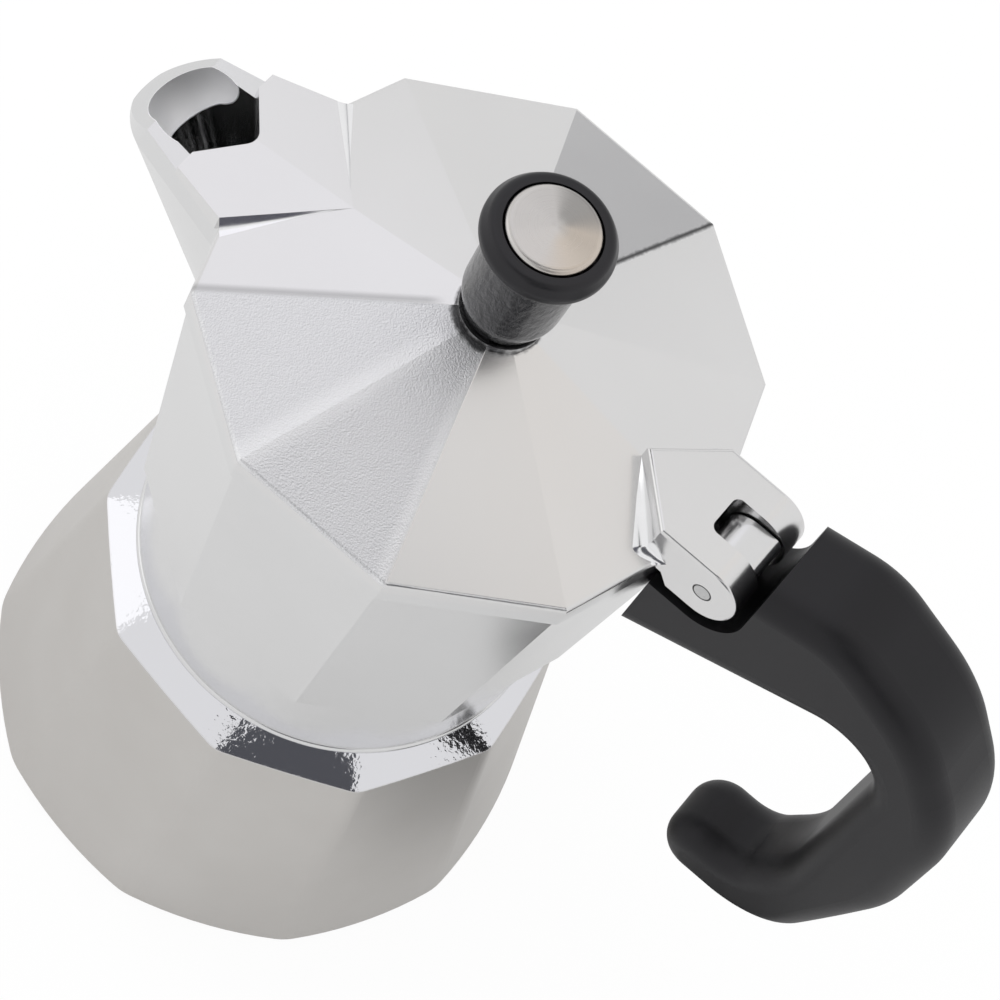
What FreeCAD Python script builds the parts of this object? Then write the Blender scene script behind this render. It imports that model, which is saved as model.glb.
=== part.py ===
import FreeCAD, Part
import math
import os
import re

import Sketcher
from FreeCAD import Placement, Rotation, Vector

# A stove-top moka pot in millimetres: a ten-sided steel boiler, a cast aluminium collector screwed onto
# its neck, a hinged lid with a knob, and a hooked handle. Z is the pot's axis and its foot is at zero.
# The hinge and the handle are towards +X and the spout is towards -X.

SIZES = {
    # boiler
    "boiler_base_radius": 43.0,
    "boiler_base_bulge": 1.0,
    "boiler_rim_radius": 35.6,
    "boiler_rim_bulge": 0.15,
    "boiler_rim_height": 49.0,
    "boiler_wall": 1.6,
    "boiler_floor": 4.0,
    "boiler_turn": -10.1,
    "boiler_corner_angle": 2.0,
    "boiler_foot_round": 1.8,
    "shoulder_rise": 3.4,
    "shoulder_radius": 30.2,
    "neck_radius": 27.0,
    "neck_wall": 2.0,
    "neck_height": 9.6,
    # thread between boiler and collector
    "thread_pitch": 3.0,
    "thread_depth": 0.9,
    "thread_root_width": 1.5,
    "thread_tip_width": 0.7,
    "thread_turns": 2.0,
    "thread_run_out": 1.1,
    "thread_lead_in": 2.2,
    "thread_clearance": 0.3,
    "thread_sink": 0.2,
    # coffee funnel, gasket and filter
    "funnel_wall": 0.8,
    "funnel_clearance": 0.4,
    "funnel_flange_overhang": 1.8,
    "funnel_basket_depth": 17.0,
    "funnel_cone_depth": 4.0,
    "funnel_stem_radius": 4.6,
    "funnel_stem_gap": 5.0,
    "sieve_thickness": 0.6,
    "sieve_clearance": 0.1,
    "sieve_hole_radius": 0.9,
    "sieve_inner_ring": 8.0,
    "sieve_outer_ring": 16.0,
    "gasket_thickness": 3.0,
    "gasket_inner_radius": 22.6,
    "gasket_clearance": 0.3,
    "filter_thickness": 0.8,
    "filter_hole_radius": 0.8,
    "filter_inner_ring": 7.0,
    "filter_middle_ring": 13.0,
    "filter_outer_ring": 19.0,
    # collector
    "skirt_gap": 1.0,
    "skirt_radius": 31.1,
    "skirt_top_radius": 32.8,
    "waist_radius": 34.5,
    "waist_height": 73.0,
    "collector_rim_radius": 39.6,
    "collector_rim_height": 125.4,
    "band_step": 0.35,
    "band_height": 2.4,
    "collector_wall": 2.9,
    "collector_floor": 8.0,
    "dome_radius": 20.5,
    "dome_rise": 4.5,
    "column_foot_radius": 9.0,
    "column_top_radius": 5.6,
    "column_height": 38.0,
    "column_bore_radius": 3.2,
    "column_cap": 2.5,
    "column_outlet_radius": 2.2,
    # spout
    "spout_front": 58.0,
    "spout_bend": 52.5,
    "spout_bend_half_width": 7.9,
    "spout_root": 35.0,
    "spout_root_half_width": 12.6,
    "spout_bend_drop": 5.0,
    "spout_keel_drop": 37.4,
    "spout_keel_half_width": 2.4,
    "spout_keel_round": 1.2,
    "spout_wall": 1.9,
    "bowl_reach": 49.6,
    "bowl_drop": 0.9,
    "bowl_radius": 6.6,
    "channel_drop": 28.0,
    "channel_foot": 37.0,
    "channel_root": 28.0,
    "lip_start": 52.2,
    "lip_slope": 0.95,
    # lid
    "lid_radius": 40.0,
    "lid_edge": 2.15,
    "lid_rise": 7.7,
    "lid_wall": 2.3,
    "lid_rim_width": 3.6,
    "lid_edge_round": 0.7,
    "boss_radius": 6.4,
    "boss_height": 1.2,
    "nose_tip": 24.2,
    "nose_front": 45.4,
    "nose_front_rise": 2.2,
    "nose_root": 36.4,
    "nose_root_half_width": 12.9,
    "nose_front_half_width": 10.3,
    "nose_side_slope": 0.05,
    "notch_start": 39.8,
    "notch_half_width": 7.2,
    "notch_round": 2.2,
    # hinge
    "pin_reach": 44.0,
    "pin_rise": 2.8,
    "pin_radius": 1.25,
    "pin_clearance": 0.05,
    "ear_radius": 5.3,
    "cheek_thickness": 1.2,
    "cheek_foot_reach": 3.9,
    "cheek_top_reach": 5.9,
    "lug_half_width": 8.5,
    "lug_front": 34.8,
    "lug_tip": 26.2,
    "lug_round": 0.6,
    "slot_half_width": 3.2,
    "slot_front": 39.3,
    "slot_round": 1.2,
    "knuckle_half_width": 2.9,
    "knuckle_radius": 3.8,
    "knuckle_back": 48.3,
    "knuckle_back_round": 1.5,
    "tongue_reach": 56.0,
    "tongue_drop": 4.4,
    "tongue_thickness": 4.0,
    "lug_root": 37.2,
    # handle
    "handle_half_width": 8.6,
    "handle_tip_half_width": 5.9,
    "handle_taper_drop": 21.4,
    "handle_side_round": 4.2,
    "recess_radius": 7.0,
    "handle_top_rise": 11.3,
    "handle_crest_x": 62.5,
    "handle_crest_rise": 14.8,
    "handle_bend_x": 80.0,
    "handle_bend_rise": 7.0,
    "handle_outer_x": 92.2,
    "handle_shoulder_drop": 9.4,
    "handle_heel_drop": 33.4,
    "handle_hook_x": 83.5,
    "handle_hook_drop": 67.0,
    "handle_tip_x": 62.0,
    "handle_tip_rise": 11.8,
    "handle_mouth_x": 72.5,
    "handle_inner_x": 78.0,
    "handle_inner_bend_drop": 45.4,
    "handle_underside_rise": 0.48,
    "handle_foot_drop": 19.0,
    "handle_root": 37.75,
    "handle_clearance": 0.2,
    "crest_round": 14.0,
    "bend_round": 26.0,
    "shoulder_round": 26.0,
    "heel_round": 30.0,
    "hook_round": 14.5,
    "tip_round": 5.6,
    "crook_round": 8.0,
    "inner_bend_round": 18.0,
    "mouth_round": 5.0,
    "tip_under_round": 5.6,
    # handle screw
    "handle_screw_x": 44.5,
    "handle_screw_depth": 2.6,
    "handle_screw_radius": 1.9,
    "handle_screw_head_radius": 3.0,
    "handle_screw_head": 1.7,
    "handle_screw_length": 8.6,
    "screw_clearance": 0.2,
    "washer_thickness": 0.5,
    "handle_counterbore_radius": 3.5,
    "drive_radius": 1.3,
    "drive_depth": 1.0,
    # knob
    "knob_rim_radius": 9.25,
    "knob_crown": 1.8,
    "knob_top_radius": 8.3,
    "knob_top_round": 1.1,
    "knob_flange": 2.6,
    "knob_neck_radius": 7.3,
    "knob_belly_radius": 7.0,
    "knob_belly_rise": 4.2,
    "knob_stem_rise": 13.75,
    "knob_foot_radius": 5.5,
    "knob_rim_round": 1.2,
    "knob_foot_round": 0.8,
    "knob_belly_round": 6.0,
    "cap_radius": 6.6,
    "cap_clearance": 0.25,
    "cap_depth": 2.4,
    "cap_stand": 0.6,
    "cap_crown": 0.5,
    "cap_round": 1.0,
    "insert_radius": 3.2,
    "insert_length": 9.0,
    "knob_screw_radius": 1.95,
    "knob_screw_head_radius": 3.5,
    "knob_screw_head": 2.2,
    "knob_screw_reach": 8.0,
    "knob_washer_radius": 5.0,
    # safety valve
    "valve_height": 34.0,
    "valve_side": 2.5,
    "valve_washer_radius": 5.4,
    "valve_washer_thickness": 0.8,
    "valve_hex_radius": 5.8,
    "valve_hex_length": 3.4,
    "valve_barrel_radius": 4.2,
    "valve_barrel_length": 5.0,
    "valve_shank_radius": 3.8,
    "valve_shank_length": 6.0,
    "valve_hole_clearance": 0.1,
    "valve_port_radius": 1.4,
    "valve_seat": 1.5,
    "valve_chamber_radius": 2.7,
    "valve_nut_length": 2.4,
    "valve_nut_gap": 0.3,
    "valve_pin_radius": 1.1,
    "valve_pin_head_radius": 2.3,
    "valve_pin_head": 1.2,
    "valve_pin_stand": 2.2,
    "valve_play": 0.1,
    "valve_plug_length": 2.0,
    "valve_plug_inset": 0.4,
    "spring_coil_radius": 1.85,
    "spring_wire_radius": 0.25,
    "spring_turns": 6.0,
}

SIDES = 10
SIDE_ANGLE = 360 // SIDES
HALF_SIDE = SIDE_ANGLE // 2
FOOT_ANGLES = (0, 45, 90)
NEAR = 1e-3

# Heights and radii that follow from the driving sizes.
SHOULDER_TOP = "(boiler_rim_height + shoulder_rise)"
NECK_TOP = f"({SHOULDER_TOP} + neck_height)"
NECK_BORE = "(neck_radius - neck_wall)"
FUNNEL_TOP = f"({NECK_TOP} + funnel_wall)"
GASKET_TOP = f"({FUNNEL_TOP} + gasket_thickness)"
SEAT = f"({GASKET_TOP} + filter_thickness)"
SKIRT_BOTTOM = f"({SHOULDER_TOP} + skirt_gap)"
SKIRT_BORE = "(neck_radius + thread_clearance)"
COLLECTOR_FLOOR = f"({SEAT} + collector_floor)"
LID_EDGE_TOP = "(collector_rim_height + lid_edge)"
LID_CROWN = f"({LID_EDGE_TOP} + lid_rise)"
BOSS_TOP = f"({LID_CROWN} + boss_height)"
BASKET_RADIUS = f"({NECK_BORE} - funnel_clearance)"
BASKET_BOTTOM = f"({NECK_TOP} - funnel_basket_depth)"
COLUMN_TOP = f"({COLLECTOR_FLOOR} + column_height)"

# Heights on the hinge, the handle, the nose and the knob, which rise and fall with the collector's rim.
HEIGHTS = {
    "nose_front_height": "collector_rim_height + nose_front_rise",
    "pin_height": "collector_rim_height + pin_rise",
    "tongue_top": "collector_rim_height - tongue_drop",
    "handle_top": "collector_rim_height + handle_top_rise",
    "handle_crest_height": "collector_rim_height + handle_crest_rise",
    "handle_bend_height": "collector_rim_height + handle_bend_rise",
    "handle_shoulder_height": "collector_rim_height - handle_shoulder_drop",
    "handle_foot": "collector_rim_height - handle_foot_drop",
    "handle_taper_start": "collector_rim_height - handle_taper_drop",
    "handle_heel_height": "collector_rim_height - handle_heel_drop",
    "handle_inner_bend": "collector_rim_height - handle_inner_bend_drop",
    "handle_hook_bottom": "collector_rim_height - handle_hook_drop",
    "handle_tip_height": "handle_hook_bottom + handle_tip_rise",
    "handle_screw_seat": "tongue_top - tongue_thickness - handle_screw_depth",
    "knob_belly_height": f"{BOSS_TOP} + knob_belly_rise",
    "knob_flange_height": "knob_belly_height + knob_stem_rise",
    "knob_rim_height": "knob_flange_height + knob_flange",
    "knob_top_height": "knob_rim_height + knob_crown",
}

doc = FreeCAD.newDocument("moka_pot")
sheet = doc.addObject("Spreadsheet::Sheet", "dim")
CELLS = {name: str(number) for name, number in SIZES.items()}
CELLS.update({name: f"={formula}" for name, formula in HEIGHTS.items()})
for row, (cell_name, content) in enumerate(CELLS.items(), start=1):
    sheet.set(f"A{row}", cell_name)
    sheet.set(f"B{row}", content)
    sheet.setAlias(f"B{row}", cell_name)
doc.recompute()


def bound(expression):
    """Points each size named in an expression at its cell of the sheet."""
    return re.sub(r"[a-z_]+", lambda word: f"dim.{word[0]}" if word[0] in CELLS else word[0], expression)


def value(expression):
    return float(sheet.evalExpression(bound(expression)))


def new_body(label):
    body = doc.addObject("PartDesign::Body", label)
    body.Label = label
    return body


def origin_feature(body, role):
    return next(item for item in body.Origin.OriginFeatures if item.Role == role)


def sketch_on(body, role, offset=None):
    sketch = body.newObject("Sketcher::SketchObject", "sketch")
    sketch.AttachmentSupport = [(origin_feature(body, role), "")]
    sketch.MapMode = "FlatFace"
    if offset is not None:
        sketch.setExpression("AttachmentOffset.Base.z", bound(offset))
    return sketch


def constrain(sketch, *terms, expression):
    """Adds a dimension to a sketch and binds it to the sheet."""
    index = sketch.addConstraint(Sketcher.Constraint(*terms, value(expression)))
    sketch.setExpression(f"Constraints[{index}]", bound(expression))


def place_point(sketch, geometry, end, corner):
    for kind, expression in zip(("DistanceX", "DistanceY"), corner):
        constrain(sketch, kind, -1, 1, geometry, end, expression=expression)


def outline(sketch, corners, arcs=None):
    """Draws a closed outline. An entry of arcs gives the radius of the side after that corner."""
    arcs = arcs or {}
    points = [Vector(value(x), value(y), 0) for x, y in corners]
    count = len(points)
    first = sketch.GeometryCount
    for i, start in enumerate(points):
        end = points[(i + 1) % count]
        if i not in arcs:
            sketch.addGeometry(Part.LineSegment(start, end))
            continue
        radius = value(arcs[i])
        chord = end - start
        depth = radius - math.sqrt(radius ** 2 - chord.Length ** 2 / 4)
        outward = Vector(chord.y, -chord.x, 0).normalize()
        sketch.addGeometry(Part.Arc(start, (start + end) / 2 + outward * depth, end))
    for i in range(count):
        sketch.addConstraint(Sketcher.Constraint("Coincident", first + i, 2, first + (i + 1) % count, 1))
        place_point(sketch, first + i, 1, corners[i])
    for i, radius in arcs.items():
        constrain(sketch, "Radius", first + i, expression=radius)
    return sketch


def circle(sketch, radius, centre=("0", "0")):
    middle = Vector(value(centre[0]), value(centre[1]), 0)
    index = sketch.addGeometry(Part.Circle(middle, Vector(0, 0, 1), value(radius)))
    constrain(sketch, "Radius", index, expression=radius)
    place_point(sketch, index, 3, centre)
    return sketch


def decagon(radius, turn="0"):
    angles = [f"(({turn}) + {SIDE_ANGLE * k}) * 1 deg" for k in range(SIDES)]
    return [(f"({radius}) * cos({angle})", f"({radius}) * sin({angle})") for angle in angles]


def regular(radius, sides):
    angles = [f"{360 * k // sides} deg" for k in range(sides)]
    return [(f"({radius}) * cos({angle})", f"({radius}) * sin({angle})") for angle in angles]


def arc_radius(half_chord, bulge):
    return f"((({half_chord}) ^ 2 + ({bulge}) ^ 2) / (2 * ({bulge})))"


def soft_decagon(sketch, radius, bulge):
    """A decagon whose sides bow out by a given depth and run smoothly into rounded corners."""
    side_half = f"(({radius}) * sin(({HALF_SIDE} - boiler_corner_angle) * 1 deg))"
    corner_half = f"(({radius}) * sin(boiler_corner_angle * 1 deg))"
    corner_bulge = f"({corner_half} * tan({HALF_SIDE / 2} deg - atan(({bulge}) / {side_half})))"
    corners = []
    arcs = {}
    for k in range(SIDES):
        for sign in ("-", "+"):
            angle = f"(boiler_turn + {SIDE_ANGLE * k} {sign} boiler_corner_angle) * 1 deg"
            corners.append((f"({radius}) * cos({angle})", f"({radius}) * sin({angle})"))
        arcs[2 * k] = arc_radius(corner_half, corner_bulge)
        arcs[2 * k + 1] = arc_radius(side_half, bulge)
    return outline(sketch, corners, arcs)


def faceted_circle(sketch, radius):
    """A circle whose arcs match those of a soft decagon."""
    bulge = f"({radius}) * (1 - cos(({HALF_SIDE} - boiler_corner_angle) * 1 deg))"
    return soft_decagon(sketch, radius, bulge)


def feature(body, kind, profile=None, **sizes):
    """Adds a feature to a body, with each size bound to the sheet, and builds it."""
    item = body.newObject(f"PartDesign::{kind}", kind)
    if profile is not None:
        item.Profile = profile
    for name, expression in sizes.items():
        item.setExpression(name, bound(expression))
    return item


def broken(item):
    return "Invalid" in item.State or "Error" in item.State


def finish(item):
    doc.recompute()
    if broken(item) or item.Shape.isNull():
        raise RuntimeError(f"{item.getParent().Label}: {item.Label} fails")
    return item


def pad(body, sketch, length, symmetric=False):
    item = feature(body, "Pad", sketch, Length=length)
    item.SideType = "Symmetric" if symmetric else "One side"
    return finish(item)


def checked_cut(body, item):
    """Builds a cut and makes sure that it took something away."""
    before = item.BaseFeature.Shape.Volume
    finish(item)
    if item.Shape.Volume >= before - NEAR:
        raise RuntimeError(f"{body.Label}: {item.Label} cuts nothing")
    return item


def pocket(body, sketch, length=None, symmetric=False, reverse=False):
    item = feature(body, "Pocket", sketch)
    item.SideType = "Symmetric" if symmetric else "One side"
    if length is None:
        item.Type = "ThroughAll"
    else:
        item.setExpression("Length", bound(length))
    item.Reversed = reverse
    return checked_cut(body, item)


def revolve(body, sketch, axis="V_Axis"):
    item = feature(body, "Revolution", sketch)
    item.ReferenceAxis = (sketch, [axis])
    item.Angle = 360
    return finish(item)


def groove(body, sketch, axis="V_Axis"):
    item = feature(body, "Groove", sketch)
    item.ReferenceAxis = (sketch, [axis])
    item.Angle = 360
    return checked_cut(body, item)


def loft(body, sketches, subtract=False):
    item = feature(body, "SubtractiveLoft" if subtract else "AdditiveLoft", sketches[0])
    item.Sections = sketches[1:]
    item.Ruled = True
    return checked_cut(body, item) if subtract else finish(item)


def helix(body, sketch, pitch, turns, axis="V_Axis", subtract=False):
    item = feature(body, "SubtractiveHelix" if subtract else "AdditiveHelix", sketch)
    item.ReferenceAxis = (sketch, [axis])
    item.Mode = "pitch-turns-angle"
    item.setExpression("Pitch", bound(pitch))
    item.setExpression("Turns", bound(turns))
    return checked_cut(body, item) if subtract else finish(item)


def fillet(body, radius, wanted):
    """Rounds the edges of a body that a test picks."""
    base = body.Tip
    names = [f"Edge{i}" for i, edge in enumerate(base.Shape.Edges, start=1) if wanted(edge)]
    item = feature(body, "Fillet", Radius=radius)
    item.Base = (base, names)
    return finish(item)


def polar_copies(body, item, count):
    pattern = body.newObject("PartDesign::PolarPattern", "PolarPattern")
    pattern.Originals = [item]
    pattern.Axis = (origin_feature(body, "Z_Axis"), [""])
    pattern.Angle = 360
    pattern.Occurrences = count
    body.Tip = pattern
    return finish(pattern)


def ends(edge):
    return [vertex.Point for vertex in edge.Vertexes]


def along(edge, direction):
    """True for a straight edge in a given direction."""
    if len(edge.Vertexes) < 2 or edge.Curve.TypeId != "Part::GeomLine":
        return False
    first, last = ends(edge)
    return abs((last - first).normalize().dot(direction)) > 1 - NEAR


def box_of(edge):
    return edge.BoundBox


def level(edge, height):
    return abs(box_of(edge).ZMin - height) < NEAR and abs(box_of(edge).ZMax - height) < NEAR


def thread_tooth(sketch, root, tip, middle, widening="0"):
    root_half = f"(thread_root_width / 2 + ({widening}))"
    tip_half = f"(thread_tip_width / 2 + ({widening}))"
    corners = [
        (root, f"{middle} - {root_half}"),
        (tip, f"{middle} - {tip_half}"),
        (tip, f"{middle} + {tip_half}"),
        (root, f"{middle} + {root_half}"),
    ]
    return outline(sketch, corners)


def make_boiler():
    """The boiler: sloping bowed sides, a shoulder that runs in to a threaded neck, and a valve hole."""
    body = new_body("boiler")
    sections = []
    for angle in FOOT_ANGLES:
        sketch = sketch_on(body, "XY_Plane", f"boiler_foot_round * (1 - cos({angle} deg))")
        radius = f"boiler_base_radius - boiler_foot_round * (1 - sin({angle} deg))"
        sections.append(soft_decagon(sketch, radius, "boiler_base_bulge"))
    rim = sketch_on(body, "XY_Plane", "boiler_rim_height")
    sections.append(soft_decagon(rim, "boiler_rim_radius", "boiler_rim_bulge"))
    sections.append(faceted_circle(sketch_on(body, "XY_Plane", SHOULDER_TOP), "shoulder_radius"))
    loft(body, sections)
    neck = circle(sketch_on(body, "XY_Plane", SHOULDER_TOP), "neck_radius")
    pad(body, neck, "neck_height")

    floor = sketch_on(body, "XY_Plane", "boiler_floor")
    soft_decagon(floor, "boiler_base_radius - boiler_wall - boiler_foot_round / 2", "boiler_base_bulge")
    ceiling = sketch_on(body, "XY_Plane", "boiler_rim_height")
    soft_decagon(ceiling, "boiler_rim_radius - boiler_wall", "boiler_rim_bulge")
    loft(body, [floor, ceiling], subtract=True)
    bore = circle(sketch_on(body, "XY_Plane", NECK_TOP), NECK_BORE)
    pocket(body, bore, f"{NECK_TOP} - boiler_rim_height + boiler_wall")

    tooth = sketch_on(body, "XZ_Plane")
    middle = f"({SHOULDER_TOP} + thread_lead_in)"
    thread_tooth(tooth, "neck_radius - thread_sink", "neck_radius + thread_depth", middle)
    helix(body, tooth, "thread_pitch", "thread_turns")

    hole = body.newObject("Sketcher::SketchObject", "valve_hole")
    hole.AttachmentSupport = [(origin_feature(body, "XY_Plane"), "")]
    hole.MapMode = "FlatFace"
    facing = Rotation(Vector(0, 1, 0), 90)
    outside = Vector(value("valve_shank_radius"), 0, 0)
    hole.AttachmentOffset = valve_placement().multiply(Placement(outside, facing))
    circle(hole, "valve_shank_radius + valve_hole_clearance")
    pocket(body, hole, "valve_shank_radius + 2 * boiler_wall")
    return body


def valve_placement():
    """The valve's own frame: X out of the boiler's wall, square to the side that it goes through."""
    side_angle = f"({HALF_SIDE} - boiler_corner_angle) * 1 deg"
    foot = value(f"boiler_base_radius * cos({side_angle}) + boiler_base_bulge")
    rim = value(f"boiler_rim_radius * cos({side_angle}) + boiler_rim_bulge")
    height = value("valve_height")
    lean = (foot - rim) / value("boiler_rim_height - boiler_foot_round")
    angle = value(f"boiler_turn + {SIDE_ANGLE} * valve_side")
    turn = Rotation(angle, -math.degrees(math.atan(lean)), 0)
    reach = rim + lean * (value("boiler_rim_height") - height)
    place = Rotation(angle, 0, 0).multVec(Vector(reach, 0, height))
    return Placement(place, turn)


def make_funnel():
    """The coffee basket, hung by its flange on the boiler's neck, with a stem into the water."""
    body = new_body("funnel")
    cone_bottom = f"({BASKET_BOTTOM} - funnel_cone_depth)"
    stem_bottom = "(boiler_floor + funnel_stem_gap)"
    inner = f"({BASKET_RADIUS} - funnel_wall)"
    stem_bore = "(funnel_stem_radius - funnel_wall)"
    flange = f"({NECK_BORE} + funnel_flange_overhang)"
    corners = [
        (flange, NECK_TOP),
        (flange, FUNNEL_TOP),
        (inner, FUNNEL_TOP),
        (inner, f"{BASKET_BOTTOM} + funnel_wall"),
        (stem_bore, f"{cone_bottom} + funnel_wall"),
        (stem_bore, stem_bottom),
        ("funnel_stem_radius", stem_bottom),
        ("funnel_stem_radius", cone_bottom),
        (BASKET_RADIUS, BASKET_BOTTOM),
        (BASKET_RADIUS, NECK_TOP),
    ]
    revolve(body, outline(sketch_on(body, "XZ_Plane"), corners))
    return body


def perforated(label, bottom, thickness, radius, hole_radius, rings):
    """A round plate with rings of holes."""
    body = new_body(label)
    pad(body, circle(sketch_on(body, "XY_Plane", bottom), radius), thickness)
    for ring, count in rings:
        hole = sketch_on(body, "XY_Plane", f"{bottom} + {thickness}")
        circle(hole, hole_radius, (ring, "0"))
        polar_copies(body, pocket(body, hole), count)
    return body


def make_funnel_sieve():
    bottom = f"({BASKET_BOTTOM} + funnel_wall)"
    radius = f"{BASKET_RADIUS} - funnel_wall - sieve_clearance"
    rings = (("sieve_inner_ring", 10), ("sieve_outer_ring", 20))
    return perforated("funnel_sieve", bottom, "sieve_thickness", radius, "sieve_hole_radius", rings)


def make_filter_plate():
    radius = f"{SKIRT_BORE} - gasket_clearance"
    rings = (("filter_inner_ring", 8), ("filter_middle_ring", 16), ("filter_outer_ring", 24))
    return perforated("filter_plate", GASKET_TOP, "filter_thickness", radius, "filter_hole_radius", rings)


def make_gasket():
    body = new_body("gasket")
    ring = circle(sketch_on(body, "XY_Plane", FUNNEL_TOP), f"{SKIRT_BORE} - gasket_clearance")
    circle(ring, "gasket_inner_radius")
    pad(body, ring, "gasket_thickness")
    return body


def spout_section(sketch, root, root_half, bend, bend_half, front):
    """A beak's outline seen from above, with a rounded front towards -X."""
    depth = f"(({front}) - ({bend}))"
    radius = f"(({bend_half}) ^ 2 + {depth} ^ 2) / (2 * {depth})"
    corners = [
        (f"-({root})", f"-({root_half})"),
        (f"-({root})", root_half),
        (f"-({bend})", bend_half),
        (f"-({bend})", f"-({bend_half})"),
    ]
    return outline(sketch, corners, {2: radius})


def add_spout(body):
    """The spout: a beak that grows out of the corner opposite the handle, with a lip that slopes down."""
    rim = "collector_rim_height"
    bend_height = f"({rim} - spout_bend_drop)"
    keel_height = f"({rim} - spout_keel_drop)"
    corner = f"(waist_radius + (collector_rim_radius - waist_radius) * ({keel_height} - waist_height)"
    corner += f" / ({rim} - waist_height))"
    beak = ("spout_root", "spout_root_half_width", "spout_bend", "spout_bend_half_width", "spout_front")
    keel_bend = f"({corner} - spout_keel_round)"
    keel_root = f"({corner} - collector_wall)"
    keel = spout_section(
        sketch_on(body, "XY_Plane", keel_height),
        keel_root, "2 * spout_keel_half_width", keel_bend, "spout_keel_half_width", corner,
    )
    loft(body, [keel, spout_section(sketch_on(body, "XY_Plane", bend_height), *beak)])
    pad(body, spout_section(sketch_on(body, "XY_Plane", bend_height), *beak), "spout_bend_drop")


def cut_spout(body):
    rim = "collector_rim_height"
    lip_drop = "((spout_front - lip_start + lip_slope) * lip_slope)"
    lip = [
        ("-lip_start", rim),
        ("-lip_start", f"{rim} + band_height"),
        ("-(spout_front + lip_slope)", f"{rim} + band_height"),
        ("-(spout_front + lip_slope)", f"{rim} - {lip_drop}"),
    ]
    pocket(body, outline(sketch_on(body, "XZ_Plane"), lip), symmetric=True)
    mouth = spout_section(
        sketch_on(body, "XY_Plane", f"{rim} + band_step"),
        "channel_root", "spout_root_half_width - 2 * spout_wall",
        "spout_bend - spout_wall / 2", "spout_bend_half_width - spout_wall", "spout_front - spout_wall",
    )
    foot = spout_section(
        sketch_on(body, "XY_Plane", f"{rim} - channel_drop"),
        "channel_root", "2 * spout_keel_half_width",
        "channel_foot - spout_keel_round", "spout_keel_half_width", "channel_foot",
    )
    loft(body, [foot, mouth], subtract=True)
    bowl = feature(body, "SubtractiveSphere", Radius="bowl_radius")
    bowl.setExpression("Placement.Base.x", bound("-bowl_reach"))
    bowl.setExpression("Placement.Base.z", bound(f"{rim} - bowl_drop"))
    checked_cut(body, bowl)


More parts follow.
